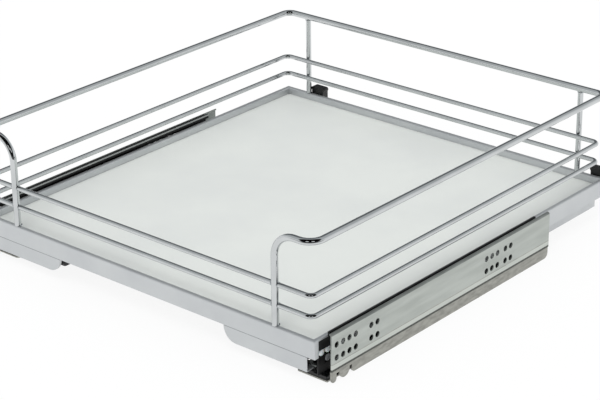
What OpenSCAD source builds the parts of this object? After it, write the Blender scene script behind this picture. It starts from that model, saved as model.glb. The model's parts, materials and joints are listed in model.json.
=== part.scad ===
// Pull-out basket tray for a kitchen base cabinet: a folded steel frame with an inlaid
// board, a chromed rail with two wires round it, and a pair of concealed full-extension
// roller runners that screw to the cabinet's side walls.
//
// X runs from left to right as seen from the front, Y from front to back, Z up.
// The origin is under the middle of the whole part, at the underside of the runners.
// "Depth into the cabinet side" (u) is measured inward from the face that the side wall
// touches, and "setback" (s) is measured backward from the front end of the runner.

/* [Cabinet] */
// Clear width between the cabinet's side walls
cabinet_w = 468; // [440:1:968]
// Air between a side wall and the tray
side_gap = 9; // [8.5:0.5:12]

/* [Tray frame] */
// Depth of the tray frame, front face to back face
tray_d = 485; // [440:1:540]
// Thickness of the folded sheet
sheet = 1; // [0.8:0.1:1.2]
// Height of the outer face
face_h = 18.5; // [17:0.5:22]
// Width of the flat rim on top of the frame
rim_w = 5.5; // [4.5:0.5:7]
// Drop from the rim to the top of the board
board_drop = 7.5; // [5:0.5:12]
// Height of the side walls' lower edge above the runner's underside
lower_wall_z = 10; // [6:0.5:14]
// Radius of the folds, at the middle of the sheet
fold_r = 1; // [0.7:0.1:1.4]
// Length of the gap in the outer face behind each front corner
corner_gap = 28; // [12:1:40]
// Length of the outer face that wraps round each front corner
corner_return = 5.5; // [4:0.5:8]
// Height of the stiffening lip under the front and back ledges
ledge_lip_h = 6; // [3:0.5:7]

/* [Base board] */
// Thickness of the laminate board
board_t = 3; // [2:0.5:4]
// Air between the board's edge and the frame
board_clear = 0.3; // [0.1:0.1:1]
// Radius of the board's corners
board_corner_r = 2; // [1:0.5:8]

/* [Rail and wires] */
// Diameter of the top rail and of its front posts
rail_d = 7; // [6:0.5:9]
// Height of the top rail's centre line above the rim
rail_h = 95; // [75:1:140]
// Diameter of the two wires
wire_d = 5; // [4:0.5:6]
// Height of the upper wire above the rim
upper_wire_h = 42; // [35:1:60]
// Height of the lower wire above the rim
lower_wire_h = 21; // [12:1:26]
// Diameter of the back posts
back_post_d = 6; // [5:0.5:7]
// Distance of the front posts from the tray's side
front_post_inset = 50; // [46:1:90]
// Distance of the back posts from the tray's side
back_post_inset = 35.5; // [25:0.5:80]
// Distance of the rail's side runs from the tray's side
rail_side_inset = 5; // [3.5:0.5:8]
// Distance of the wires' side runs from the tray's side
wire_side_inset = 6.7; // [3:0.1:9]
// Radius of the rail's front corners, at the centre line
rail_front_r = 15; // [10:1:16]
// Radius of the bend from the rail down into a front post
rail_down_r = 24; // [10:1:26]
// Radius of the rail's back corners
rail_back_r = 10; // [8:1:20]
// Radius of the wires' corners
wire_corner_r = 7; // [5:1:20]
// How far the wires' front run lies behind the middle of the front posts
front_wire_step = 0.8; // [0:0.1:0.8]

/* [Front brackets] */
// Width of each bracket below the front face
bracket_w = 103; // [70:1:130]
// Distance of the bracket's outer end from the tray's side
bracket_inset = 10; // [10:0.5:14]
// Height of the bracket's underside
bracket_z = 11.5; // [9:0.5:14]
// Radius of the bracket's lower inner corner
bracket_corner_r = 15; // [8:0.5:15]
// How far the bracket's face lies behind the front face
bracket_recess = 0.5; // [0.3:0.1:0.8]
// Depth of the bracket's turned-back rim
bracket_rim = 11; // [8:0.5:11]
// Depth of the rim round the rounded corner
bracket_end_rim = 2; // [1:0.5:6]
// Height of the tongue that goes up behind the front face
tongue_h = 18; // [10:0.5:19]
// How far the tongue laps down behind the bracket's face
tongue_lap = 4; // [2:0.5:6]
// Air between the front face's lower edge and the bracket
bracket_joint = 0.3; // [0.2:0.1:0.6]

/* [Corner inserts and stops] */
// How far the corner insert lies inside the outer face
insert_inset = 0.4; // [0.2:0.1:0.8]
// Air at both ends of the corner insert
insert_air = 0.3; // [0.1:0.1:1]
// Height of the stop that stands on the runner's foot
stop_h = 4; // [2:0.5:5]
// Air between the stop and the cabinet rail
stop_air = 0.6; // [0.3:0.1:2]
// Distance of the stop from the foot's edges
stop_edge = 1; // [0.5:0.5:3]

/* [Rear clips] */
// Width of each moulded clip
clip_w = 19; // [15:0.5:30]
// How far a clip stands behind the back face
clip_out = 9; // [8:0.5:28]
// Height of a clip's top above the rim
clip_rise = 8; // [4:0.5:12]
// Height of a clip's underside
clip_z = 30; // [28:0.5:34]
// Middle of the left clip, from the tray's left side
clip_left_inset = 45.5; // [35:0.5:80]
// Middle of the right clip, from the tray's right side
clip_right_inset = 12; // [10:0.5:60]
// Radius of the top edges of a clip's cap
clip_r = 2.5; // [1:0.5:3]
// Height of a clip's cap
clip_cap_h = 3; // [3:0.2:5]
// How far the cap overhangs the body on either side
clip_lip = 1; // [0.5:0.5:2]
// Wall thickness of a clip
clip_wall = 2; // [1.5:0.5:3]
// Thickness of the rib in a clip's hollow
clip_rib = 1.6; // [1:0.2:3]

/* [Runner: cabinet member] */
// Length of the runner, which is also its travel
runner_l = 350; // [300:1:380]
// Distance of the runner's front end behind the tray's front face
runner_setback = 13.5; // [13:0.5:20]
// Thickness of the cabinet member
plate_t = 1.5; // [1.2:0.1:2]
// Height of the cabinet member
plate_h = 51; // [49:0.5:56]
// Width of the foot flange
foot_w = 45; // [42:1:50]
// Width of the lip rolled in along the top edge
top_lip_w = 3; // [2.5:0.5:4]
// Height of the stepped-in strip along the bottom
strip_h = 13; // [11:0.5:15]
// How far the strip is stepped in
strip_step = 0.8; // [0.4:0.1:1]
// Width of the first tab of the strip, at the runner's front end
first_tab_w = 7.5; // [5:0.5:9]
// Setback of the second tab
second_tab_s = 12; // [10:0.5:14]
// Width of the second tab
second_tab_w = 14.5; // [8:0.5:15]
// Setback of the strip's long run
notch_end = 30; // [29:1:60]
// Radius of the long run's lower front corner
run_round = 4; // [1:0.5:6]
// Height at which the tabs join
tab_root_z = 8.5; // [7.5:0.5:10]
// Gap between the tabs and the foot's edge
foot_free = 5; // [3:0.5:6]
// Cut on the foot's inner front corner
foot_chamfer = 4; // [1:0.5:8]
// Radius of the lower back corner
plate_corner_r = 6; // [3:0.5:9]
// Diameter of the fixing holes
fix_hole_d = 6.2; // [5:0.1:6.6]
// Distance between neighbouring fixing holes
fix_pitch = 9.2; // [8.5:0.1:9.6]
// Setback of the first fixing hole
fix_first = 7; // [6:0.5:8]
// Height of the upper row of fixing holes
fix_upper_z = 38.5; // [36:0.5:42]
// Distance between the two rows
fix_row_gap = 13.3; // [10:0.1:16]
// Distance from the front group to the back group, seven cabinet hole pitches
fix_group_gap = 224; // [192:32:224]
// Distance from a group to its repeat, one cabinet hole pitch
fix_repeat = 32; // [28:1:36]

/* [Runner: rails] */
// Thickness of the rails
rail_t = 1.2; // [1:0.1:1.4]
// Width of the drawer rail and of the cabinet rail
channel_w = 10.4; // [10.2:0.1:11]
// Air between the drawer rail and the frame's walls
channel_gap = 0.6; // [0.3:0.1:1]
// Diameter of the rollers between the drawer rail and the middle rail
upper_roller_d = 7.4; // [6.4:0.1:7.6]
// Diameter of the rollers between the middle rail and the cabinet rail
lower_roller_d = 4.1; // [3.8:0.1:4.5]
// Running clearance above and below each roller
roller_clear = 0.1; // [0.05:0.01:0.15]
// Air between the lips of the drawer rail and the cabinet rail
lip_gap = 2; // [1.5:0.1:3]
// Air between the middle rail's web and the lips
web_gap = 0.9; // [0.6:0.1:1.2]
// Inset of the middle rail from the drawer rail's open side
middle_inset = 1.7; // [1.4:0.1:2]
// Air beside the middle rail's flanges, for the cage's web
cage_space = 1.5; // [1.3:0.1:1.7]
// Air between the middle rail's back end and its buffer
buffer_gap = 1; // [0.5:0.1:2]
// Length of each buffer
buffer_l = 4; // [3:0.5:6]
// Height of the cabinet rail's outer wall above the foot
track_wall_h = 4; // [2:0.5:8]
// Air between the cabinet rail and the roller carrier at rest
carrier_gap = 2; // [1:0.5:5]
// Air between the drawer rail and the bracket's face
drawer_rail_gap = 5.5; // [1:0.5:8]

/* [Runner: front rollers] */
// Distance between the two upper front rollers
front_roller_pitch = 9.2; // [8:0.1:10]
// Length of a front roller
front_roller_l = 5.8; // [3.5:0.1:6]
// Diameter of the rollers' pins
roller_pin_d = 2.4; // [2:0.1:3]
// Running clearance of a roller on its pin
pin_clear = 0.05; // [0.03:0.01:0.08]
// Rounding of a roller's outer edge
roller_round = 1.2; // [0.4:0.1:1.4]
// Thickness of the carrier's cheek
cheek_t = 1.2; // [1:0.1:1.3]
// Length of the carrier's tail inside the middle rail
tail_l = 9; // [6:0.5:12]

/* [Runner: roller cages] */
// Distance between rollers in a cage
cage_pitch = 16; // [12:0.5:24]
// Thickness of the cage's bars round the upper rollers
upper_bar_t = 4; // [3:0.1:5]
// Thickness of the cage's bars round the lower rollers
lower_bar_t = 2.4; // [2:0.1:3]
// Play of a roller in its window
window_clear = 0.2; // [0.1:0.05:0.4]
// Air beside the ends of the cage's rollers
roller_end_air = 0.3; // [0.2:0.1:0.5]
// Air between a cage's bars and the middle rail's web
cage_web_air = 0.4; // [0.3:0.1:0.8]
// Air left at each end of a cage's travel
cage_end_air = 1; // [0.5:0.5:3]

/* [Soft close] */
// Length of the soft-close unit
damper_l = 200; // [120:5:220]
// Width of the soft-close unit
damper_w = 15.5; // [12:0.5:18]
// Height of the soft-close unit
damper_h = 16.5; // [12:0.5:17]
// Distance of its back end from the runner's back end
damper_back = 35; // [25:5:50]
// Diameter of the peg that drives it
peg_d = 5; // [4:0.5:6]
// Width of the slot that the peg runs in
peg_slot_w = 6.4; // [6.2:0.1:7]
// Depth of the slot
peg_slot_h = 7; // [6:0.5:9]
// Air between the tray's lower wall and the unit
damper_gap = 2; // [1:0.5:4]
// Length of the catch that carries the peg
catch_l = 20; // [12:1:40]
// Air above the unit and below the peg
catch_air = 2; // [1:0.5:3]

/* [Release levers] */
// Length of each lock housing, along the front
lock_l = 60; // [40:1:70]
// Depth of each lock housing, front to back
lock_d = 28; // [20:1:36]
// Height of each lock housing
lock_h = 14.5; // [12:0.5:15]
// Distance of the lock housing behind the front ledge
lock_gap = 1; // [0.5:0.5:6]
// Radius of the housing's inner corners
lock_round = 3; // [1:0.5:6]
// Length of a lever, from its pin to its tip
lever_l = 81.5; // [60:0.5:90]
// Thickness of a lever
lever_t = 5.6; // [4:0.1:6]
// Width of a lever's arm
lever_w = 8; // [6:0.5:10]
// Diameter of the lever's pin
lever_pin_d = 4; // [3:0.5:5]
// Diameter of the lever's boss
lever_boss_d = 11; // [9:0.5:12]
// Distance of the pin from the lock housing's outer end
lever_pin_inset = 13.5; // [8:0.5:18]
// Distance of the pin behind the housing's front
lever_pin_setback = 7.5; // [6.5:0.5:10]
// Diameter of the pin's head
lever_head_d = 7; // [6:0.5:10]
// Thickness of the pin's head
lever_head_t = 1.2; // [0.8:0.1:2]
// Length of the grip
grip_l = 32; // [16:1:40]
// How far the grip reaches forward of the lever's arm
grip_forward = 5.3; // [0:0.1:8]
// Radius of the grip's corners
grip_r = 2; // [1:0.5:4]
// Width of the grip
grip_w = 12; // [9:0.5:14]
// Air above and below a lever
lever_air = 0.4; // [0.3:0.1:0.8]

/* [Hidden] */
$fn = 48;
// How far a cutting body reaches past the faces that it opens
over = 1;
half_cab = cabinet_w / 2;
half_tray = half_cab - side_gap;
total_d = tray_d + clip_out;
front_y = -total_d / 2;
back_y = front_y + tray_d;
runner_y = front_y + runner_setback;

// Heights, from the foot flange up through the three rails to the rim
track_z = plate_t;
lower_zone = lower_roller_d + 2 * roller_clear;
upper_zone = upper_roller_d + 2 * roller_clear;
middle_z = track_z + rail_t + lower_zone;
track_lip_z = middle_z + rail_t + lower_zone;
drawer_lip_z = track_lip_z + rail_t + lip_gap;
middle_top_z = drawer_lip_z + rail_t + upper_zone;
drawer_top_z = middle_top_z + rail_t + upper_zone;
ledge_z = drawer_top_z + rail_t;
board_z = ledge_z + sheet;
rim_z = board_z + board_t + board_drop;
face_z = rim_z - face_h;

// Depths into the cabinet side of the rails and of the frame's lower wall
channel_u = side_gap + sheet + channel_gap;
channel_end_u = channel_u + channel_w;
middle_u = channel_u + middle_inset;
middle_end_u = channel_end_u - rail_t - cage_space;
lip_u = middle_u + rail_t + web_gap;
lower_wall_u = channel_end_u + channel_gap;
ledge_w = lower_wall_u + sheet - side_gap;

// Places along the runner
travel = runner_l;
head_front = -upper_roller_d / 2 - roller_round;
head_back = front_roller_pitch + upper_roller_d / 2 + roller_round;
track_front = head_back + carrier_gap;
middle_back = runner_l - buffer_l - buffer_gap;
cage_front = head_back + tail_l + travel / 4 + cage_end_air;
cage_l = middle_back - travel / 4 - cage_front - cage_end_air;
drawer_rail_front = bracket_recess + 2 * sheet + drawer_rail_gap - runner_setback;

upper_roller_z = drawer_top_z - upper_zone / 2;
guide_roller_z = middle_top_z - upper_zone / 2;
lower_roller_z = middle_z - lower_zone / 2;
foot_guide_z = track_lip_z - lower_zone / 2;

// ---- Outlines of folded sheet ----------------------------------------------------

function unit(v) = v / norm(v);
function left_of(v) = [-v[1], v[0]];
function turned(v, a) = [v[0] * cos(a) - v[1] * sin(a), v[0] * sin(a) + v[1] * cos(a)];
function cross_z(a, b) = a[0] * b[1] - a[1] * b[0];

// One fold at p1, on the face that lies d to the left of the sheet's middle
function fold(p0, p1, p2, d, r, steps = 5) =
    let (a = unit(p1 - p0),
         b = unit(p2 - p1),
         way = cross_z(a, b) > 0 ? 1 : -1,
         angle = acos(a * b),
         centre = p1 - a * r * tan(angle / 2) + way * r * left_of(a))
    [for (i = [0:steps])
        centre + (r - way * d) * turned(-way * left_of(a), way * angle * i / steps)];

function sheet_face(path, d, r) =
    let (last = len(path) - 1)
    [path[0] + d * left_of(unit(path[1] - path[0])),
     for (i = [1:1:last - 1]) each fold(path[i - 1], path[i], path[i + 1], d, r),
     path[last] + d * left_of(unit(path[last] - path[last - 1]))];

function backward(list) = [for (i = [len(list) - 1:-1:0]) list[i]];

// Section of a sheet of thickness t whose middle follows the path
module folded(path, t, r) {
    polygon(concat(sheet_face(path, t / 2, r), backward(sheet_face(path, -t / 2, r))));
}

// ---- Placing ---------------------------------------------------------------------

// Lays a section drawn as [u, z] along the right side wall, from setback s0 to s1
module along_side(s0, s1) {
    translate([half_cab, runner_y + s1, 0])
        rotate([90, 0, 0])
            linear_extrude(s1 - s0)
                mirror([1, 0])
                    children();
}

// A block on the right side, from its ranges of u, s and z
module side_block(u0, u1, s0, s1, z0, z1) {
    translate([half_cab - u1, runner_y + s0, z0])
        cube([u1 - u0, s1 - s0, z1 - z0]);
}

// A round bar across the right side, from u0 to u1, centred at setback s and height z
module cross_pin(u0, u1, s, z, d) {
    translate([half_cab - u1, runner_y + s, z])
        rotate([0, 90, 0])
            cylinder(h = u1 - u0, d = d);
}

module on_left() {
    mirror([1, 0, 0])
        children();
}

// ---- Tray frame ------------------------------------------------------------------

// Section of the frame's rim, as [distance from the outer face, height]
function rim_path() = [
    [sheet / 2, face_z],
    [sheet / 2, rim_z - sheet / 2],
    [rim_w - sheet / 2, rim_z - sheet / 2],
    [rim_w - sheet / 2, ledge_z + sheet / 2],
    [ledge_w - sheet / 2, ledge_z + sheet / 2]
];

function panel_path(bottom_z) = concat(rim_path(), [[ledge_w - sheet / 2, bottom_z]]);

// Plan of one side of the frame, with mitred ends; x is the length, y the width
module mitred(length) {
    reach = ledge_w + over;
    polygon([[0, 0], [length, 0], [length - reach, reach], [reach, reach]]);
}

module end_panel() {
    intersection() {
        translate([-half_tray, 0, 0])
            rotate([90, 0, 90])
                linear_extrude(2 * half_tray)
                    folded(panel_path(ledge_z - ledge_lip_h), sheet, fold_r);
        translate([-half_tray, 0, 0])
            linear_extrude(rim_z + over)
                mitred(2 * half_tray);
    }
}

module front_panel() {
    color("#c4c9cc")
        translate([0, front_y, 0])
            end_panel();
}

module back_panel() {
    color("#c4c9cc")
        translate([0, back_y, 0])
            mirror([0, 1, 0])
                end_panel();
}

module side_panel() {
    color("#c4c9cc")
        difference() {
            intersection() {
                translate([half_tray, back_y, 0])
                    rotate([90, 0, 0])
                        linear_extrude(tray_d)
                            mirror([1, 0])
                                folded(panel_path(lower_wall_z), sheet, fold_r);
                translate([half_tray, front_y, 0])
                    rotate([0, 0, 90])
                        linear_extrude(rim_z + over)
                            mitred(tray_d);
            }
            corner_cut();
        }
}

// The outer face is open behind the front corner, where the rollers show
module corner_cut() {
    translate([half_tray - sheet, front_y + corner_return, face_z - over])
        cube([sheet + over, corner_gap, face_h - sheet - fold_r / 2 + over]);
}

module base_board() {
    inset = rim_w + board_clear;
    w = 2 * (half_tray - inset);
    d = tray_d - 2 * inset;
    color("#dadddb")
        translate([-w / 2, front_y + inset, board_z])
            linear_extrude(board_t)
                rounded_plate(w, d, board_corner_r);
}

module rounded_plate(w, d, r) {
    translate([r, 0])
        square([w - 2 * r, d]);
    translate([0, r])
        square([w, d - 2 * r]);
    for (x = [r, w - r], y = [r, d - r])
        translate([x, y])
            circle(r);
}

// ---- Rail and wires --------------------------------------------------------------

post_inset = rail_d / 2;
rail_x = half_tray - rail_side_inset;
rail_front_y = front_y + post_inset;
rail_back_y = back_y - post_inset;
rail_z = rim_z + rail_h;
front_post_x = half_tray - front_post_inset;
back_post_x = half_tray - back_post_inset;

// A straight round bar between two points that differ along one axis
module bar(from, to, d) {
    v = to - from;
    turn = [v[1] != 0 ? (v[1] > 0 ? -90 : 90) : 0, v[0] != 0 ? (v[0] > 0 ? 90 : -90) : 0, 0];
    translate(from)
        rotate(turn)
            cylinder(h = norm(v), d = d);
}

// A quarter bend in plan, round the given centre, that starts at angle a
module flat_bend(centre, r, a, d) {
    translate(centre)
        rotate([0, 0, a])
            rotate_extrude(angle = 90)
                translate([r, 0])
                    circle(d = d);
}

// The right half of the rail, from the middle of the back to the foot of the front post
module half_rail() {
    side_front = rail_front_y + rail_front_r;
    side_back = rail_back_y - rail_back_r;
    inner_x = rail_x - rail_front_r;
    bend_x = front_post_x + rail_down_r;
    bar([0, rail_back_y, rail_z], [rail_x - rail_back_r, rail_back_y, rail_z], rail_d);
    flat_bend([rail_x - rail_back_r, side_back, rail_z], rail_back_r, 0, rail_d);
    bar([rail_x, side_front, rail_z], [rail_x, side_back, rail_z], rail_d);
    flat_bend([inner_x, side_front, rail_z], rail_front_r, -90, rail_d);
    bar([bend_x, rail_front_y, rail_z], [inner_x, rail_front_y, rail_z], rail_d);
    translate([bend_x, rail_front_y, rail_z - rail_down_r])
        rotate([90, 0, 0])
            rotate([0, 0, 90])
                rotate_extrude(angle = 90)
                    translate([rail_down_r, 0])
                        circle(d = rail_d);
    bar([front_post_x, rail_front_y, rim_z],
        [front_post_x, rail_front_y, rail_z - rail_down_r], rail_d);
}

module top_rail() {
    color("#b8bcbe") {
        half_rail();
        on_left()
            half_rail();
    }
}

// A loop of wire, welded to the inner side of the back posts and, at the front, cut to
// saddles that are welded between the posts
module wire_loop(z) {
    x = half_tray - wire_side_inset;
    y0 = rail_front_y + front_wire_step;
    y1 = rail_back_y - (back_post_d + wire_d) / 2;
    r = wire_corner_r;
    difference() {
        union() {
            for (y = [y0, y1])
                bar([-x + r, y, z], [x - r, y, z], wire_d);
            for (side = [-1, 1])
                bar([side * x, y0 + r, z], [side * x, y1 - r, z], wire_d);
            flat_bend([x - r, y1 - r, z], r, 0, wire_d);
            flat_bend([-x + r, y1 - r, z], r, 90, wire_d);
            flat_bend([-x + r, y0 + r, z], r, 180, wire_d);
            flat_bend([x - r, y0 + r, z], r, 270, wire_d);
        }
        for (side = [-1, 1])
            bar([side * front_post_x, rail_front_y, z - wire_d],
                [side * front_post_x, rail_front_y, z + wire_d], rail_d);
    }
}

module upper_wire() {
    color("#a9adaf")
        wire_loop(rim_z + upper_wire_h);
}

module lower_wire() {
    color("#a9adaf")
        wire_loop(rim_z + lower_wire_h);
}

// A back post, cut to a saddle where it meets the underside of the rail
module back_post() {
    color("#b8bcbe")
        difference() {
            bar([back_post_x, rail_back_y, rim_z], [back_post_x, rail_back_y, rail_z], back_post_d);
            bar([back_post_x - rail_d, rail_back_y, rail_z],
                [back_post_x + rail_d, rail_back_y, rail_z], rail_d);
        }
}

// ---- Front brackets --------------------------------------------------------------

bracket_x = half_tray - bracket_inset;

// Front view of a bracket up to x1 and z1, drawn in by inset at its bottom and inner edge
module bracket_outline(inset, x1, z1) {
    r = bracket_corner_r - inset;
    x0 = bracket_x - bracket_w + inset;
    z0 = bracket_z + inset;
    translate([x0 + r, z0])
        square([x1 - x0 - r, z1 - z0]);
    translate([x0, z0 + r])
        square([x1 - x0, z1 - z0 - r]);
    intersection() {
        translate([x0 + r, z0 + r])
            circle(r);
        translate([x0, z0])
            square([r, z1 - z0]);
    }
}

// A bracket's face with its rim turned back, open at the top and at the outer end
module front_bracket() {
    back = front_y + bracket_recess + sheet + bracket_rim;
    color("#c4c9cc") {
        difference() {
            translate([0, back, 0])
                rotate([90, 0, 0])
                    linear_extrude(sheet + bracket_rim)
                        bracket_outline(0, bracket_x, face_z - bracket_joint);
            translate([0, back + over, 0])
                rotate([90, 0, 0])
                    linear_extrude(bracket_rim + over)
                        bracket_outline(sheet, bracket_x + over, face_z + over);
            // Shallower rim round the rounded corner
            translate([bracket_x - bracket_w - over, back - bracket_rim + bracket_end_rim,
                       bracket_z - over])
                cube([bracket_corner_r + over, bracket_rim, face_z - bracket_z + over]);
        }
        // Tongue, spot-welded to the back of the front face
        translate([bracket_x - bracket_w + bracket_corner_r, front_y + sheet, face_z - tongue_lap])
            cube([bracket_w - bracket_corner_r - 2 * sheet, sheet, tongue_h]);
    }
}

// ---- Corner inserts and stops, on the right side -----------------------------------

// Black filler under the rim where the outer face is open, over the drawer rail's edge
module corner_insert() {
    u0 = side_gap + insert_inset;
    s0 = corner_return + insert_air - runner_setback;
    s1 = corner_return + corner_gap - insert_air - runner_setback;
    color("#17181a") {
        side_block(u0, side_gap + rim_w - sheet, s0, s1, ledge_z,
                   rim_z - sheet - fold_r / 2);
        side_block(channel_u - insert_inset, channel_u, s0, s1, ledge_z - rail_t, ledge_z);
    }
}

// Moulded stop that stands on the foot in front of the cabinet rail
module front_stop() {
    color("#17181a")
        side_block(strip_step + foot_free + stop_edge, foot_w - stop_edge, foot_chamfer,
                   track_front - stop_air, track_z, track_z + stop_h);
}

// ---- Rear clips ------------------------------------------------------------------

// A moulded clip on the back face: a rounded cap over a body that is hollow from behind
module rear_clip(middle_x) {
    top_z = rim_z + clip_rise;
    cap_z = top_z - clip_cap_h;
    body_w = clip_w - 2 * clip_lip;
    arch_r = body_w / 2 - clip_wall;
    color("#1d1e20")
        translate([middle_x, back_y + clip_out, 0])
            rotate([90, 0, 0]) {
                difference() {
                    linear_extrude(clip_out)
                        translate([-body_w / 2, clip_z])
                            square([body_w, cap_z - clip_z]);
                    // Arched hollow with a rib down its middle
                    translate([0, 0, -over])
                        linear_extrude(clip_out - clip_wall + over)
                            difference() {
                                union() {
                                    translate([0, cap_z - clip_wall - arch_r])
                                        circle(arch_r);
                                    translate([-arch_r, clip_z + clip_wall])
                                        square([2 * arch_r, cap_z - clip_z - 2 * clip_wall - arch_r]);
                                }
                                translate([-clip_rib / 2, clip_z])
                                    square([clip_rib, cap_z - clip_z]);
                            }
                }
                linear_extrude(clip_out)
                    translate([-clip_w / 2, cap_z])
                        clip_cap();
            }
}

// Front view of a clip's cap
module clip_cap() {
    square([clip_w, clip_cap_h - clip_r]);
    translate([clip_r, 0])
        square([clip_w - 2 * clip_r, clip_cap_h]);
    for (x = [clip_r, clip_w - clip_r])
        translate([x, clip_cap_h - clip_r])
            circle(clip_r);
}

// ---- Runner, on the right side ---------------------------------------------------

// Cabinet member: a plate with rows of fixing holes, a stepped-in strip and a foot
module cabinet_member() {
    color("#b3b8b4")
        difference() {
            union() {
                // Plate with its rolled-in top edge
                along_side(0, runner_l)
                    folded([[plate_t / 2, strip_h - plate_t / 2],
                            [plate_t / 2, plate_h - plate_t / 2],
                            [top_lip_w, plate_h - plate_t / 2]], plate_t, plate_t);
                strip();
                foot();
            }
            fixing_holes();
            // Rounded lower back corner
            translate([half_cab + over, runner_y + runner_l - plate_corner_r, plate_corner_r])
                rotate([0, -90, 0])
                    linear_extrude(foot_w + 2 * over)
                        difference() {
                            translate([-plate_corner_r - over, 0])
                                square(plate_corner_r + over);
                            circle(plate_corner_r);
                        }
        }
}

tabs = [[0, first_tab_w], [second_tab_s, second_tab_w]];

// The strip below the step: two rounded tabs at the front, then one long run
module strip() {
    translate([half_cab - strip_step - plate_t, runner_y, 0])
        rotate([90, 0, 90])
            linear_extrude(plate_t) {
                for (tab = tabs) {
                    r = tab[1] / 2;
                    translate([tab[0], r])
                        square([tab[1], strip_h - r]);
                    translate([tab[0] + r, r])
                        circle(r);
                }
                translate([0, tab_root_z])
                    square([notch_end, strip_h - tab_root_z]);
                translate([notch_end + run_round, 0])
                    square([runner_l - notch_end - run_round, strip_h]);
                translate([notch_end, run_round])
                    square([run_round, strip_h - run_round]);
                translate([notch_end + run_round, run_round])
                    circle(run_round);
            }
}

// The foot flange, with its inner front corner cut off and a free edge behind the tabs
module foot() {
    x1 = half_cab - strip_step;
    x0 = half_cab - foot_w;
    root_y = runner_y + notch_end + run_round;
    linear_extrude(plate_t)
        polygon([[x1, root_y], [x1 - foot_free, root_y],
                 [x1 - foot_free, runner_y], [x0 + foot_chamfer, runner_y],
                 [x0, runner_y + foot_chamfer], [x0, runner_y + runner_l],
                 [x1, runner_y + runner_l]]);
}

front_holes = [for (i = [0:3]) fix_first + i * fix_pitch];
front_pair = [for (i = [2:3]) fix_first + i * fix_pitch + fix_repeat];
back_holes = [for (i = [1:3]) fix_first + i * fix_pitch + fix_group_gap];
back_pair = [for (i = [1:2]) fix_first + i * fix_pitch + fix_group_gap + fix_repeat];

module fixing_holes() {
    for (s = concat(front_holes, front_pair, back_holes, back_pair),
         z = [fix_upper_z, fix_upper_z - fix_row_gap])
        cross_pin(-over, plate_t + over, s, z, fix_hole_d);
}

// Cabinet rail: a channel that opens outward, riveted to the foot
module cabinet_rail() {
    half = rail_t / 2;
    color("#a7aba8")
        along_side(track_front, runner_l)
            folded([[channel_u + half, track_z + track_wall_h],
                    [channel_u + half, track_z + half],
                    [channel_end_u - half, track_z + half],
                    [channel_end_u - half, track_lip_z + half],
                    [lip_u, track_lip_z + half]], rail_t, rail_t);
}

// Rubber stop between the cabinet rail's folds
module rail_buffer() {
    air = rail_t / 2;
    color("#26272a")
        side_block(channel_u + rail_t + air, channel_end_u - rail_t - air,
                   runner_l - buffer_l, runner_l, track_z + rail_t, track_lip_z - air);
}

// Drawer rail: the same kind of channel upside down, under the tray's ledge
module drawer_rail() {
    half = rail_t / 2;
    color("#a7aba8")
        along_side(drawer_rail_front, runner_l)
            folded([[channel_u, drawer_top_z + half],
                    [channel_end_u - half, drawer_top_z + half],
                    [channel_end_u - half, drawer_lip_z + half],
                    [lip_u, drawer_lip_z + half]], rail_t, rail_t);
}

// Middle rail: its web is outboard and its flanges run inside both channels
module middle_rail() {
    half = rail_t / 2;
    color("#a7aba8")
        along_side(head_back, middle_back)
            folded([[middle_end_u, middle_top_z + half],
                    [middle_u + half, middle_top_z + half],
                    [middle_u + half, middle_z + half],
                    [middle_end_u, middle_z + half]], rail_t, rail_t);
}

roller_end_u = middle_end_u - cheek_t;
roller_start_u = roller_end_u - front_roller_l - window_clear;
pin_start_u = roller_start_u + roller_round;

// Carrier on the middle rail's front end, with pins for three rollers
module roller_carrier() {
    window = upper_roller_d / 2 + 2 * window_clear;
    color("#17181a") {
        difference() {
            side_block(middle_u, middle_u + rail_t, head_front, head_back,
                       middle_z, middle_top_z);
            side_block(middle_u - over, middle_u + rail_t + over, front_roller_pitch - window,
                       front_roller_pitch + window, guide_roller_z - window, middle_top_z + over);
        }
        for (z = [middle_z, middle_top_z])
            side_block(middle_u, middle_end_u, head_front, head_back, z, z + rail_t);
        side_block(roller_end_u, middle_end_u, head_front, head_back,
                   guide_roller_z - roller_pin_d, upper_roller_z + roller_pin_d);
        side_block(middle_u + rail_t, middle_end_u, front_roller_pitch + window,
                   head_back + tail_l, guide_roller_z, middle_top_z);
        for (place = [[0, upper_roller_z], [front_roller_pitch, upper_roller_z],
                      [front_roller_pitch, guide_roller_z]])
            cross_pin(pin_start_u + pin_clear, roller_end_u, place[0], place[1], roller_pin_d);
    }
}

// Nylon roller with a rounded outer end and a blind bore for its pin
module front_roller(s, z) {
    r = upper_roller_d / 2;
    bore_r = roller_pin_d / 2 + pin_clear;
    blind = pin_start_u - roller_start_u;
    color("#eceded")
        translate([half_cab - roller_start_u, runner_y + s, z])
            rotate([0, -90, 0])
                rotate_extrude()
                    difference() {
                        union() {
                            translate([0, roller_round])
                                square([r, front_roller_l - roller_round]);
                            square([r - roller_round, front_roller_l]);
                            intersection() {
                                translate([r - roller_round, roller_round])
                                    circle(roller_round);
                                square([r, front_roller_l]);
                            }
                        }
                        translate([-over, blind])
                            square([bore_r + over, front_roller_l]);
                    }
}

// The cage's web fills the middle half of the space between the two rails
cage_u = middle_end_u + cage_space / 4;
cage_end_u = cage_u + cage_space / 2;
cage_bar_u = middle_u + rail_t + cage_web_air;
cage_roller_u = lip_u;
cage_roller_end_u = middle_end_u - roller_end_air;
cage_count = floor((cage_l - 2 * upper_roller_d) / cage_pitch);

function cage_places() = [for (i = [0:cage_count]) cage_front + upper_roller_d + i * cage_pitch];

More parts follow.
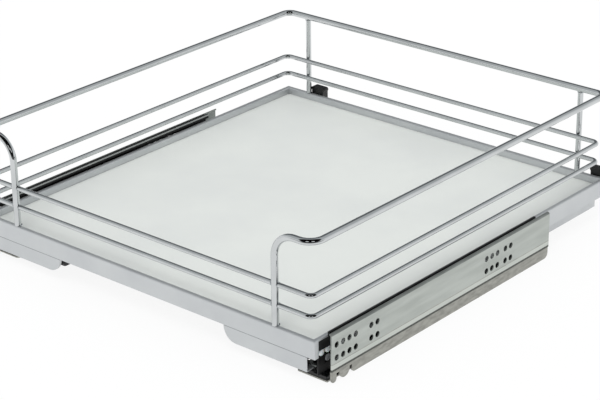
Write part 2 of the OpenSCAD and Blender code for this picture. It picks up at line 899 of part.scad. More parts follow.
// Cage that wraps round one flange of the middle rail, with a window for each roller
module roller_cage(low_z, high_z, bar_t, roller_d) {
    window = roller_d / 2 + window_clear;
    color("#2b2d30")
        difference() {
            union() {
                for (z = [low_z, high_z])
                    side_block(cage_bar_u, cage_end_u, cage_front, cage_front + cage_l,
                               z - bar_t / 2, z + bar_t / 2);
                side_block(cage_u, cage_end_u, cage_front, cage_front + cage_l, low_z, high_z);
            }
            for (s = cage_places(), z = [low_z, high_z])
                side_block(cage_roller_u - window_clear, cage_roller_end_u + window_clear,
                           s - window, s + window, z - bar_t, z + bar_t);
        }
}

module cage_rollers(low_z, high_z, roller_d) {
    color("#eceded")
        for (s = cage_places(), z = [low_z, high_z])
            cross_pin(cage_roller_u, cage_roller_end_u, s, z, roller_d);
}

module upper_cage() {
    roller_cage(guide_roller_z, upper_roller_z, upper_bar_t, upper_roller_d);
}

module upper_cage_rollers() {
    cage_rollers(guide_roller_z, upper_roller_z, upper_roller_d);
}

module lower_cage() {
    roller_cage(lower_roller_z, foot_guide_z, lower_bar_t, lower_roller_d);
}

module lower_cage_rollers() {
    cage_rollers(lower_roller_z, foot_guide_z, lower_roller_d);
}

// ---- Soft close ------------------------------------------------------------------

damper_u = lower_wall_u + sheet + damper_gap;
damper_setback = runner_l - damper_back - damper_l;
peg_u = damper_u + damper_w / 3;
peg_s = damper_setback + damper_l - 2 * peg_slot_w;

// Closed unit on the foot; the peg draws its slide along the slot
module soft_close_unit() {
    top = track_z + damper_h;
    color("#2b2d30")
        difference() {
            side_block(damper_u, damper_u + damper_w, damper_setback,
                       damper_setback + damper_l, track_z, top);
            side_block(peg_u - peg_slot_w / 2, peg_u + peg_slot_w / 2, damper_setback - over,
                       peg_s, top - peg_slot_h, top + over);
            translate([half_cab - peg_u, runner_y + peg_s, top - peg_slot_h])
                cylinder(h = peg_slot_h + over, d = peg_slot_w);
        }
}

// Bent catch on the inner side of the tray's lower wall, with its peg
module soft_close_catch() {
    plate_z = track_z + damper_h + catch_air;
    peg_z = track_z + damper_h - peg_slot_h + catch_air / 2;
    wall_u = lower_wall_u + sheet;
    color("#a7aba8") {
        side_block(wall_u, wall_u + plate_t, peg_s - catch_l / 2, peg_s + catch_l / 2,
                   plate_z, ledge_z - sheet);
        side_block(wall_u, peg_u + peg_d, peg_s - catch_l / 2, peg_s + catch_l / 2,
                   plate_z, plate_z + plate_t);
        translate([half_cab - peg_u, runner_y + peg_s, peg_z])
            cylinder(h = plate_z + plate_t - peg_z, d = peg_d);
    }
}

// ---- Front lock and release lever ------------------------------------------------

lock_x = half_tray - ledge_w;
lock_y = front_y + ledge_w + lock_gap;
lock_z = ledge_z - lock_h;
lever_x = lock_x - lever_pin_inset;
lever_y = lock_y + lever_pin_setback;
lever_z = lock_z - lever_air - lever_t;

// Housing in the corner under the board, with the rivet that the lever turns on
module lock_housing() {
    head_z = lever_z - lever_air - lever_head_t;
    color("#1d1e20") {
        translate([lock_x - lock_l, lock_y, lock_z])
            linear_extrude(lock_h)
                union() {
                    translate([lock_round, 0])
                        square([lock_l - lock_round, lock_d]);
                    translate([0, lock_round])
                        square([lock_l, lock_d - 2 * lock_round]);
                    for (y = [lock_round, lock_d - lock_round])
                        translate([lock_round, y])
                            circle(lock_round);
                }
        translate([lever_x, lever_y, head_z]) {
            cylinder(h = lock_z - head_z, d = lever_pin_d);
            cylinder(h = lever_head_t, d = lever_head_d);
        }
    }
}

// Lever: a boss on the rivet, a straight arm and a grip that reaches into the bracket
module release_lever() {
    arm_x = grip_l / 2 - lever_l;
    side_y = -lever_boss_d / 2;
    color("#26272a")
        translate([lever_x, lever_y, lever_z])
            difference() {
                linear_extrude(lever_t)
                    union() {
                        circle(d = lever_boss_d);
                        translate([arm_x, side_y])
                            square([-arm_x, lever_w]);
                        translate([-lever_l, side_y - grip_forward])
                            rounded_plate(grip_l, grip_w, grip_r);
                    }
                translate([0, 0, -over])
                    cylinder(h = lever_t + 2 * over, d = lever_pin_d + 2 * pin_clear);
            }
}

// ---- Assembly --------------------------------------------------------------------

front_panel();
on_left() side_panel();  // side_panel_left
side_panel();  // side_panel_right
back_panel();
base_board();
top_rail();
upper_wire();
lower_wire();
on_left() back_post();  // back_post_left
back_post();  // back_post_right
on_left() front_bracket();  // front_bracket_left
front_bracket();  // front_bracket_right
on_left() corner_insert();  // corner_insert_left
corner_insert();  // corner_insert_right
on_left() front_stop();  // front_stop_left
front_stop();  // front_stop_right
rear_clip(clip_left_inset - half_tray);  // rear_clip_left
rear_clip(half_tray - clip_right_inset);  // rear_clip_right
on_left() drawer_rail();  // drawer_rail_left
drawer_rail();  // drawer_rail_right
on_left() lock_housing();  // lock_housing_left
lock_housing();  // lock_housing_right
on_left() release_lever();  // release_lever_left
release_lever();  // release_lever_right
on_left() soft_close_catch();  // soft_close_catch_left
soft_close_catch();  // soft_close_catch_right
on_left() cabinet_member();  // cabinet_member_left
cabinet_member();  // cabinet_member_right
on_left() cabinet_rail();  // cabinet_rail_left
cabinet_rail();  // cabinet_rail_right
on_left() rail_buffer();  // rail_buffer_left
rail_buffer();  // rail_buffer_right
on_left() soft_close_unit();  // soft_close_unit_left
soft_close_unit();  // soft_close_unit_right
on_left() middle_rail();  // middle_rail_left
middle_rail();  // middle_rail_right
on_left() roller_carrier();  // roller_carrier_left
roller_carrier();  // roller_carrier_right
on_left() front_roller(0, upper_roller_z);  // front_roller_left
front_roller(0, upper_roller_z);  // front_roller_right
on_left() front_roller(front_roller_pitch, upper_roller_z);  // second_roller_left
front_roller(front_roller_pitch, upper_roller_z);  // second_roller_right
on_left() front_roller(front_roller_pitch, guide_roller_z);  // guide_roller_left
front_roller(front_roller_pitch, guide_roller_z);  // guide_roller_right
on_left() upper_cage();  // upper_cage_left
upper_cage();  // upper_cage_right
on_left() upper_cage_rollers();  // upper_cage_rollers_left
upper_cage_rollers();  // upper_cage_rollers_right
on_left() lower_cage();  // lower_cage_left
lower_cage();  // lower_cage_right
on_left() lower_cage_rollers();  // lower_cage_rollers_left
lower_cage_rollers();  // lower_cage_rollers_right
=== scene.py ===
# %% [markdown]
# # A pull-out cabinet basket
# The real object is a steel tray that slides out of a kitchen cabinet on two roller runners,
# with a chromed rail and two wires round it. The CAD model fixes every size and joint. This
# lesson dresses it: round bars are swept again with finer bends, pressed and moulded pieces
# get softened edges, and each piece gets a material named for what the real one is made of.
# Some materials carry painted shade or highlight, and their names say so.

# %% The frame
import json
import math
import bmesh
import bpy
from mathutils import Matrix, Vector


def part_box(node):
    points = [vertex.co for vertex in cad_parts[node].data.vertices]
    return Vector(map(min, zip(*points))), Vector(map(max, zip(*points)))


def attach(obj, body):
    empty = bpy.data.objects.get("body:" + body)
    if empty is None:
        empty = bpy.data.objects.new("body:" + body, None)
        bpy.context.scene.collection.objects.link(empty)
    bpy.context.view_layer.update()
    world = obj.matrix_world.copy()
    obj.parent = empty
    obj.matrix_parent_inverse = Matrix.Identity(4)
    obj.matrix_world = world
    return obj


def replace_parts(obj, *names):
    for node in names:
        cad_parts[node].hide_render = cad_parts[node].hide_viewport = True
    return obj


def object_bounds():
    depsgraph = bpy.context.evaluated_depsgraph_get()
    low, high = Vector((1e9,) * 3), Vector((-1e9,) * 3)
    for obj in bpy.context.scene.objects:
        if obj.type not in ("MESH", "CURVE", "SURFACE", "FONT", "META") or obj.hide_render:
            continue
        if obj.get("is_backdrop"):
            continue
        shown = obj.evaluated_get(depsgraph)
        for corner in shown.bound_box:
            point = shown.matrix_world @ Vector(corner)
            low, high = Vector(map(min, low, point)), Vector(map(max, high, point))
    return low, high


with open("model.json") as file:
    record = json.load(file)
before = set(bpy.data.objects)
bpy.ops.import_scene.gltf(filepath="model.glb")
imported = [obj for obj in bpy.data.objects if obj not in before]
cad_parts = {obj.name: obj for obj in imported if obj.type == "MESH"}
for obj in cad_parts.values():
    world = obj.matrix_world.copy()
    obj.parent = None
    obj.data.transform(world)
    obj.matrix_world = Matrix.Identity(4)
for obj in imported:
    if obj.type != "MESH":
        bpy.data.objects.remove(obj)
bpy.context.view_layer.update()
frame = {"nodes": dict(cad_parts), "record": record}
MM = 0.001
SIDES = (("left", -1), ("right", 1))

# %% [markdown]
# ## Small helpers
# Colours are written as they look on a screen, in sRGB hex, and one function turns them to
# the linear values that Cycles works in. Node trees get long when every node takes three
# lines, so one function adds a node with its settings and its links.

# %% Colour and node helpers
def shade(code):
    """Linear colour of an sRGB hex code."""
    parts = [int(code[i:i + 2], 16) / 255 for i in (1, 3, 5)]
    return (*[c / 12.92 if c <= 0.04045 else ((c + 0.055) / 1.055) ** 2.4 for c in parts], 1)


def add(tree, kind, inputs=None, **settings):
    """A new node; an input takes a value, or another node's socket to be linked."""
    node = tree.nodes.new(kind)
    for name, value in settings.items():
        setattr(node, name, value)
    for name, value in (inputs or {}).items():
        if isinstance(value, bpy.types.NodeSocket):
            tree.links.new(value, node.inputs[name])
        else:
            node.inputs[name].default_value = value
    return node


def link(socket, target):
    """A link between two nodes that are there already."""
    target.id_data.links.new(socket, target)


def set_stops(ramp, places, codes):
    """The two stops of a new colour ramp."""
    for stop, place, code in zip(ramp.color_ramp.elements, places, codes):
        stop.position = place
        stop.color = shade(code)


print("sRGB #808080 is", round(shade("#808080")[0], 3), "in linear light")

# %% [markdown]
# Two more helpers deal with objects. Every finished piece sits at the origin with its place in
# its mesh, so putting data in the scene needs no more than a name. Places are read from the
# boxes of the CAD nodes, which the frame gives in metres, and this lesson counts in millimetres.

# %% Object helpers
def in_scene(name, data):
    """A new object at the origin that holds the data."""
    item = bpy.data.objects.new(name, data)
    bpy.context.scene.collection.objects.link(item)
    return item


def box_mm(node):
    """The low and the high corner of a CAD node's box, in mm."""
    return [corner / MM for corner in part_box(node)]


def inner_and_outer(low, high):
    """How far a box's inner and outer faces lie from the middle plane."""
    return sorted((abs(low.x), abs(high.x)))


print("tray board in mm:", [round(v, 1) for corner in box_mm("base_board") for v in corner])

# %% [markdown]
# ## A base for every finish
# Each finish starts as one Principled shader whose plain numbers sit on its own sockets. What
# varies over the surface is then linked in: a colour that wanders between two close shades,
# and a bump whose grain has a real size. Object coordinates are in metres, and the pieces'
# objects sit at the origin, so a noise scale of 1000 gives one cell per millimetre.

# %% Finish helper
def finish(name, metallic, roughness, light, dark, drift_mm, grain_mm, bump_mm,
           stretch=(1, 1, 1)):
    """A material whose colour drifts between two shades and whose bump has a grain size."""
    material = bpy.data.materials.new(name)
    material.use_nodes = True
    tree = material.node_tree
    shader = tree.nodes["Principled BSDF"]
    shader.inputs["Metallic"].default_value = metallic
    shader.inputs["Roughness"].default_value = roughness
    place = add(tree, "ShaderNodeTexCoord").outputs["Object"]
    place = add(tree, "ShaderNodeMapping", {"Vector": place, "Scale": stretch}).outputs[0]
    drift = add(tree, "ShaderNodeTexNoise", {"Vector": place, "Scale": 1000 / drift_mm,
                                             "Detail": 3.0})
    ramp = add(tree, "ShaderNodeValToRGB", {"Fac": drift.outputs[0]})
    set_stops(ramp, (0.35, 0.65), (dark, light))
    link(ramp.outputs["Color"], shader.inputs["Base Color"])
    grain = add(tree, "ShaderNodeTexNoise", {"Vector": place, "Scale": 1000 / grain_mm,
                                             "Detail": 2.0})
    relief = add(tree, "ShaderNodeBump", {"Height": grain.outputs[0], "Strength": 1.0,
                                          "Distance": bump_mm * MM})
    link(relief.outputs[0], shader.inputs["Normal"])
    return material


def set_shader(material, socket, value):
    """One more plain number on a finish's shader."""
    material.node_tree.nodes["Principled BSDF"].inputs[socket].default_value = value


# %% [markdown]
# ## Lacquer and chrome
# The tray is folded steel sheet with a silver lacquer: fine metal flakes in a clear binder. The
# rail and the wires are steel bar, welded first and then nickel-chrome plated all over.

# %% Lacquer and chrome
# Flakes in a binder scatter the light: a broad, soft shine and no mirror image
silver_lacquer = finish("silver_lacquer_on_steel", 0.62, 0.36, "#c9cccd", "#c1c4c6",
                        60, 0.9, 0.004)
# The same lacquer with painted shade for the seam under the front panel: darker and duller
painted_seam_shade_lacquer = finish("silver_lacquer_painted_seam_shade", 0.5, 0.45, "#84888b", "#7c8083",
                        40, 0.9, 0.004)
# A near mirror, the brightest finish here, with the slight waviness that bending leaves
bright_chrome = finish("nickel_chrome_plating", 1.0, 0.06, "#cccfd0", "#c3c6c7",
                       25, 9, 0.006)
# Ripples of the weld under the plating break the mirror up into small glints
welded_chrome = finish("chrome_over_weld", 1.0, 0.2, "#c2c6c9", "#a9adb0", 3, 1.2, 0.1)
print("finishes so far:", len(bpy.data.materials))

# %% [markdown]
# ## Strip steel
# The runner is pressed from hot-dip galvanised strip. Zinc freezes to faint crystals, and the
# mill's rolls draw them out along the strip, so the pattern is stretched along Y. Along the
# fold, the crease and the rolled edge, copies of the zinc carry painted shade and highlight, and
# the stepped-in strip is darker.

# %% Galvanised and rolled steel
# Dull and slightly green, with faint streaks along the strip
galvanised = finish("galvanised_strip", 0.8, 0.36, "#b9beb9", "#abb0ab",
                    9, 0.8, 0.01, stretch=(1, 0.12, 1))
# The stepped-in strip is warmer and greyer, with its streaks broken up; the same colour paints
# the shade of the fold
darker_galvanised_and_fold_shade = finish("galvanised_darker_strip_and_painted_fold_shade", 0.75, 0.4, "#a6a69f", "#8f8f89",
                         3, 0.6, 0.02, stretch=(1, 0.3, 1))
# Painted highlight along the fold: a brighter band of the zinc, a little less rough
painted_highlight_galvanised = finish("galvanised_painted_fold_highlight", 0.8, 0.3, "#c8ccc6", "#bfc4be",
                            9, 0.8, 0.01, stretch=(1, 0.12, 1))
# Painted shade on the rolled top edge: a dull grey line
painted_shade_galvanised = finish("galvanised_rolled_edge_painted_shade", 0.6, 0.5, "#8b8f8c", "#7b7f7c",
                           5, 0.6, 0.01, stretch=(1, 0.2, 1))
# Painted shadow under the step: a thin dark line along the crease
painted_crease_shadow = finish("painted_shadow_in_the_crease", 0.2, 0.5, "#4f514c", "#41433f", 3, 0.5, 0.01)
# The rails are cold-rolled and wiped: darker and smoother, with long fine streaks
rolled_steel = finish("rolled_bright_steel", 0.75, 0.34, "#a9aeab", "#969b99",
                      4, 0.5, 0.008, stretch=(1, 0.08, 1))
print("finishes so far:", len(bpy.data.materials))

# %% [markdown]
# ## Board and plastics
# The board is chipboard with a melamine face, pressed against a pearled steel sheet. Carriers,
# clips and lock housings are black polyamide, moulded with a light spark grain. The rollers are
# acetal, the guide rollers grey with painted shade. Buffers are rubber. The black gap strip is
# painted shade, and its grey edge a painted highlight.

# %% Melamine, polyamide, acetal and rubber
# The pearled press plate leaves a fine even grain and a soft shine, weaker than on bare resin
melamine = finish("melamine_board", 0.0, 0.28, "#e6e9e5", "#e1e4e1", 90, 0.7, 0.006)
set_shader(melamine, "Specular IOR Level", 0.25)
# Spark grain spreads the highlight, so the black stays deep and quiet
polyamide = finish("black_polyamide", 0.0, 0.46, "#0d0e0f", "#070808", 12, 0.5, 0.02)
# The lever is handled: a little greyer and smoother than the housings
lever_plastic = finish("lever_polyamide", 0.0, 0.4, "#2a2b2e", "#212225", 12, 0.5, 0.015)
# The cages are self-coloured dark grey acetal, smooth enough to slide
cage_plastic = finish("cage_acetal_grey", 0.0, 0.38, "#303236", "#27292c", 12, 0.6, 0.01)
# The soft-close housing is dark grey with a satin surface
damper_plastic = finish("damper_housing_plastic", 0.0, 0.42, "#2f3134", "#26282b",
                        14, 0.5, 0.015)
# White acetal is smooth and a little translucent, so its shaded side glows faintly
acetal = finish("white_acetal", 0.0, 0.32, "#f0f1f0", "#e8e9e8", 3, 0.8, 0.004)
set_shader(acetal, "Subsurface Weight", 0.15)
# Painted shade: the guide rollers are the same resin, drawn grey so that they stay dim in the
# corner
painted_shade_acetal = finish("acetal_painted_shade_grey", 0.0, 0.38, "#7b7e80", "#707375", 3, 0.8, 0.004)
# Painted highlight: a matt light grey edge, a thin line beside the black strip
painted_highlight_edge = finish("grey_painted_highlight_edge", 0.0, 0.6, "#b4b8b6", "#aaaeac", 8, 0.5, 0.01)
# Rubber takes almost no highlight
rubber = finish("black_rubber", 0.0, 0.75, "#1a1b1c", "#121314", 6, 0.4, 0.03)
print("finishes:", len(bpy.data.materials))

# %% [markdown]
# ## Growing a piece from a rule
# Geometry Nodes make whatever follows a path or repeats. A tree is run on a small guide mesh,
# and its result is kept as a plain mesh, because the export drops instances and live trees.
# The guide's inputs are set by their identifiers before it is first evaluated.

# %% Guides
def guide_mesh(name, points, edges, numbers):
    """Points in mm with named numbers on them, for a node tree to start from."""
    mesh = bpy.data.meshes.new(name)
    mesh.from_pydata([Vector(p) * MM for p in points], edges, [])
    for label, values in numbers.items():
        kind = "FLOAT_VECTOR" if hasattr(values[0], "__len__") else "FLOAT"
        data = mesh.attributes.new(label, kind, "POINT").data
        for item, value in zip(data, values):
            setattr(item, "vector" if kind == "FLOAT_VECTOR" else "value", value)
    return mesh


def plain_copy(item):
    """The mesh that an object's modifiers make of it."""
    graph = bpy.context.evaluated_depsgraph_get()
    return bpy.data.meshes.new_from_object(item.evaluated_get(graph), depsgraph=graph)


def grow(name, mesh, tree, values):
    """The piece that the tree makes of the guide."""
    guide = in_scene(name + "_guide", mesh)
    modifier = guide.modifiers.new("shape", "NODES")
    modifier.node_group = tree
    for item in tree.interface.items_tree:
        if item.item_type == "SOCKET" and item.in_out == "INPUT" and item.name in values:
            modifier[item.identifier] = values[item.name]
    made = plain_copy(guide)
    bpy.data.objects.remove(guide)
    return in_scene(name, made)


# %% [markdown]
# Every such tree starts with a Geometry input, its named sizes and a Finish, and ends with
# smooth shading, real geometry and that finish. Two functions make these two ends.

# %% Both ends of a geometry tree
def new_tree(name, sizes):
    """An empty geometry tree with a Geometry input, the named sizes and a Finish."""
    tree = bpy.data.node_groups.new(name, "GeometryNodeTree")
    tree.interface.new_socket("Geometry", in_out="INPUT", socket_type="NodeSocketGeometry")
    for label, value in sizes.items():
        kind = "NodeSocketInt" if isinstance(value, int) else "NodeSocketFloat"
        tree.interface.new_socket(label, in_out="INPUT", socket_type=kind).default_value = value
    tree.interface.new_socket("Finish", in_out="INPUT", socket_type="NodeSocketMaterial")
    tree.interface.new_socket("Geometry", in_out="OUTPUT", socket_type="NodeSocketGeometry")
    return tree, tree.nodes.new("NodeGroupInput").outputs


def close_tree(tree, shape, ends):
    """Smooth shading, real geometry and the finish, then the output."""
    smooth = add(tree, "GeometryNodeSetShadeSmooth", {"Geometry": shape})
    real = add(tree, "GeometryNodeRealizeInstances", {"Geometry": smooth.outputs[0]})
    painted = add(tree, "GeometryNodeSetMaterial", {"Geometry": real.outputs[0],
                                                    "Material": ends["Finish"]})
    add(tree, "NodeGroupOutput", {"Geometry": painted.outputs[0]})


# %% [markdown]
# ## The tree for bent bar
# A bar is bent on a former: straight runs joined by arcs. So the guide is only the corner
# points, each with its own bend radius, and the tree rounds them and sweeps a circle along.
# The same tree makes the rail, the wires and the posts.

# %% Bent bar
bent_bar, ends = new_tree("bent_bar", {"Diameter": 0.007, "Sides": 32, "Bend steps": 14})
line = add(bent_bar, "GeometryNodeMeshToCurve", {"Mesh": ends["Geometry"]})
radius = add(bent_bar, "GeometryNodeInputNamedAttribute", {"Name": "bend"}, data_type="FLOAT")
bends = add(bent_bar, "GeometryNodeFilletCurve", {"Curve": line.outputs[0],
            "Count": ends["Bend steps"], "Radius": radius.outputs["Attribute"]}, mode="POLY")
half = add(bent_bar, "ShaderNodeMath", {0: ends["Diameter"], 1: 0.5}, operation="MULTIPLY")
ring = add(bent_bar, "GeometryNodeCurvePrimitiveCircle", {"Resolution": ends["Sides"],
                                                          "Radius": half.outputs[0]})
swept = add(bent_bar, "GeometryNodeCurveToMesh", {"Curve": bends.outputs[0],
            "Profile Curve": ring.outputs[0], "Fill Caps": True})
close_tree(bent_bar, swept.outputs[0], ends)
print("bent bar tree:", len(bent_bar.nodes), "nodes")

# %% [markdown]
# A piece may hold more than one run of bar, as a wire does, whose front is welded in as a
# length of its own. The runs lie in one guide, with no edge between them.

# %% A piece of bent bar
def bar_piece(name, node, runs, diameter):
    """Bars along runs of (x, y, z, bend radius) in mm, standing for a CAD node of the tray."""
    points, edges, radii = [], [], []
    for run in runs:
        start = len(points)
        points += [p[:3] for p in run]
        radii += [p[3] * MM for p in run]
        edges += [(i, i + 1) for i in range(start, len(points) - 1)]
    mesh = guide_mesh(name, points, edges, {"bend": radii})
    piece = grow(name, mesh, bent_bar, {"Diameter": diameter * MM, "Finish": bright_chrome})
    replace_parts(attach(piece, "tray"), node)
    print(name, len(piece.data.polygons), "faces")


# %% [markdown]
# ## The rail and its posts
# The rail is one 7 mm bar: it rises from each front foot, hooks outward, and runs back along
# both sides and across the back, where two thinner posts carry it. The ends of its path are
# read from the CAD node's box, and one half of the path is mirrored for the other.

# %% Rail and posts
rail_d, wire_d, post_d = 7.0, 5.0, 6.0
rail_low, rail_high = box_mm("top_rail")
front_y, back_y = rail_low.y + rail_d / 2, rail_high.y - rail_d / 2
rail_x, rail_z = rail_high.x - rail_d / 2, rail_high.z - rail_d / 2
rim_z = rail_low.z
front_post_x, back_post_x = 175.0, 189.5
hook_bend, front_bend, back_bend = 24, 15, 10
half_path = [(front_post_x, front_y, rim_z, 0), (front_post_x, front_y, rail_z, hook_bend),
             (rail_x, front_y, rail_z, front_bend), (rail_x, back_y, rail_z, back_bend)]
other_half = [(-x, y, z, r) for x, y, z, r in reversed(half_path)]
bar_piece("rail_bar", "top_rail", [half_path + other_half], rail_d)

post_top = rail_z - 1.0  # inside the rail, where the weld takes it
for side, sign in SIDES:
    x = sign * back_post_x
    bar_piece("back_post_bar_" + side, "back_post_" + side,
              [[(x, back_y, rim_z, 0), (x, back_y, post_top, 0)]], post_d)

# %% [markdown]
# ## The wires
# Each 5 mm wire closes round the tray inside the posts. It is made in two lengths, as on the
# real tray: one from post to post round the back, and a straight one between the front posts.
# Both reach a quarter of the rail's width into the post, so that no gap shows at the weld.

# %% Wires
wire_bend, wire_heights = 7, {}
stub = front_post_x + rail_d / 4
front_end = front_post_x - rail_d / 4
for level in ("upper", "lower"):
    low, high = box_mm(level + "_wire")
    x, y0, y1 = high.x - wire_d / 2, low.y + wire_d / 2, high.y - wire_d / 2
    z = (low.z + high.z) / 2
    wire_heights[level] = z
    round_back = [(stub, y0, z, 0), (x, y0, z, wire_bend), (x, y1, z, wire_bend),
                  (-x, y1, z, wire_bend), (-x, y0, z, wire_bend), (-stub, y0, z, 0)]
    front_run = [(-front_end, y0, z, 0), (front_end, y0, z, 0)]
    bar_piece(level + "_wire_bar", level + "_wire", [round_back, front_run], wire_d)
    wire_front_y, wire_back_y = y0, y1

# %% [markdown]
# ## Welds
# Every crossing of bar and wire is resistance-welded before plating, which leaves a small
# rounded collar under the chrome. The collars are all alike, so the tree puts one ring on each
# point, turned to the direction and scaled to the radius that the point carries. The bead is
# its set thickness on a ring of 3 mm radius, and grows and shrinks with the ring.

# %% Tree for the weld collars
collars, ends = new_tree("weld_collars", {"Bead": 0.0006})
path = add(collars, "GeometryNodeCurvePrimitiveCircle", {"Resolution": 20, "Radius": 1.0})
bead = add(collars, "GeometryNodeCurvePrimitiveCircle", {"Resolution": 8, "Radius": 1.0})
share = add(collars, "ShaderNodeMath", {0: ends["Bead"], 1: 3 * MM}, operation="DIVIDE")
size = add(collars, "ShaderNodeCombineXYZ", {0: share.outputs[0], 1: share.outputs[0], 2: 1.0})
scaled = add(collars, "GeometryNodeTransform", {"Geometry": bead.outputs[0],
                                                "Scale": size.outputs[0]})
collar = add(collars, "GeometryNodeCurveToMesh", {"Curve": path.outputs[0],
                                                  "Profile Curve": scaled.outputs[0]})
reach = add(collars, "GeometryNodeInputNamedAttribute", {"Name": "reach"}, data_type="FLOAT")
heading = add(collars, "GeometryNodeInputNamedAttribute", {"Name": "heading"},
              data_type="FLOAT_VECTOR")
facing = add(collars, "FunctionNodeAlignRotationToVector",
             {"Vector": heading.outputs["Attribute"]}, axis="Z")
placed = add(collars, "GeometryNodeInstanceOnPoints", {"Points": ends["Geometry"],
             "Instance": collar.outputs[0], "Rotation": facing.outputs[0],
             "Scale": reach.outputs["Attribute"]})
close_tree(collars, placed.outputs[0], ends)
print("weld collar tree:", len(collars.nodes), "nodes")

# %% [markdown]
# A list of joints drives the tree. Each has its place, the direction that the collar goes
# round, and its radius. The front feet's collars sit a little behind the feet's own axis, so
# that they stay inside the CAD box.

# %% Places of the welds
ALONG_X, ALONG_Y, UPRIGHT = (1, 0, 0), (0, 1, 0), (0, 0, 1)
foot_z, foot_y, beside_post, tack_r = rim_z + 0.4, front_y + 0.7, rail_d / 2 + 0.2, 1.6
tack_y = (wire_back_y + wire_d / 2 + back_y - post_d / 2) / 2
joints = []
for _, sign in SIDES:
    front_x, back_x = sign * front_post_x, sign * back_post_x
    joints += [((front_x, foot_y, foot_z), UPRIGHT, rail_d / 2),
               ((back_x, back_y, foot_z), UPRIGHT, post_d / 2),
               ((back_x, back_y, rail_z - rail_d / 2 - 0.1), UPRIGHT, post_d / 2)]
    for z in wire_heights.values():
        joints += [((front_x - beside_post, wire_front_y, z), ALONG_X, wire_d / 2),
                   ((front_x + beside_post, wire_front_y, z), ALONG_X, wire_d / 2),
                   ((back_x, tack_y, z), ALONG_Y, tack_r)]
spots, headings, radii = zip(*joints)
weld_guide = guide_mesh("weld_spots", spots, [],
                        {"heading": headings, "reach": [r * MM for r in radii]})
welds = grow("weld_collars", weld_guide, collars, {"Finish": welded_chrome})
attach(welds, "tray")
print("weld collars:", len(joints), "with", len(welds.data.polygons), "faces")

# %% [markdown]
# ## Softened edges
# No pressed or moulded edge is perfectly sharp, and a knife edge catches no light. A bevel of
# a few tenths of a millimetre gives each edge its thin highlight. Bevels and curves are shaded
# smooth. The large flats stay flat, because a smoothed flat shows streaks from every hole.

# %% Shading
SHARP = math.radians(40)
MERGE = 0.002 * MM
SMALL_FACE = 4 * MM * MM


def shade_soft(mesh):
    """Bevels and curves are shaded smooth, and the flats between them stay flat."""
    mesh.shade_smooth()
    mesh.set_sharp_from_angle(angle=SHARP)
    for face in mesh.polygons:
        square = max(map(abs, face.normal)) > 0.9999
        face.use_smooth = not square or face.area < SMALL_FACE


def as_mesh(name, shape):
    """The mesh of a shape that is complete."""
    mesh = bpy.data.meshes.new(name)
    shape.to_mesh(mesh)
    shape.free()
    return mesh


def solid_piece(name, shape, material):
    """A closed shape as a piece with its finish and its shading."""
    mesh = as_mesh(name, shape)
    mesh.materials.append(material)
    shade_soft(mesh)
    return in_scene(name, mesh)


# %% [markdown]
# The CAD node's loose triangles are left alone: a copy is merged, its flat faces are joined,
# and the bevel runs on that. Some pressed pieces get bands of another colour along them, mostly
# painted shade and highlight. The copy is then cut level at each band's top, and the faces below
# that height change colour.

# %% Softened copies of CAD nodes
def merged_copy(node, levels):
    """A CAD node's shape with whole faces, cut at the given heights in mm."""
    shape = bmesh.new()
    shape.from_mesh(frame["nodes"][node].data)
    bmesh.ops.remove_doubles(shape, verts=shape.verts, dist=MERGE)
    bmesh.ops.dissolve_limit(shape, angle_limit=math.radians(0.5), verts=shape.verts,
                             edges=shape.edges)
    for level in levels:
        bmesh.ops.bisect_plane(shape, geom=shape.verts[:] + shape.edges[:] + shape.faces[:],
                               plane_co=(0, 0, level * MM), plane_no=(0, 0, 1))
    return shape


def softened(node, name, material, width_mm, body, bands=(), inner_band=0):
    """A copy of a CAD node with bevelled edges, which stands for it.

    Each band is (top in mm, material) and recolours the faces below that height. Faces that
    look to the middle of the part get at least the inner band."""
    piece = in_scene(name, as_mesh(name, merged_copy(node, [top for top, _ in bands])))
    bevel = piece.modifiers.new("softened", "BEVEL")
    bevel.width, bevel.segments = width_mm * MM, 2
    bevel.limit_method, bevel.angle_limit = "ANGLE", math.radians(35)
    bevel.use_clamp_overlap = True
    piece.data = plain_copy(piece)
    piece.modifiers.clear()
    for used in (material, *(band_finish for _, band_finish in bands)):
        piece.data.materials.append(used)
    for face in piece.data.polygons:
        band = sum(face.center.z < top * MM for top, _ in bands)
        looks_inwards = face.center.x * face.normal.x < -0.1
        face.material_index = max(inner_band, band) if looks_inwards else band
    shade_soft(piece.data)
    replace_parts(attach(piece, body), node)
    print(name, len(piece.data.polygons), "faces")


# %% [markdown]
# The side plate gets five bands below its rolled edge, which has painted shade: the plain
# plate, the fold in painted shade, a painted highlight under the fold, a painted shadow along
# the crease, and the stepped-in strip in a darker, warmer tone. Its inner side has no painted
# shade at the edge. On the front brackets only the seam under the front panel gets painted
# shade.

# %% Bands on the pressed pieces
rolled_edge, fold, fold_highlight_top, crease, strip_top = 49.2, 19.7, 19.0, 14.4, 11.9
seam = 26.6
# Bands of painted light: the fold's painted shade, the painted highlight under it, the crease's
# painted shadow; on the brackets, plain lacquer below the seam's painted shade
bands_of = {"cabinet_member": ((rolled_edge, galvanised), (fold, darker_galvanised_and_fold_shade),
                               (fold_highlight_top, painted_highlight_galvanised), (crease, painted_crease_shadow),
                               (strip_top, darker_galvanised_and_fold_shade)),
            "front_bracket": ((seam, silver_lacquer),)}
inner_band_of = {"cabinet_member": 1}
print("bands:", {node: len(bands) for node, bands in bands_of.items()})
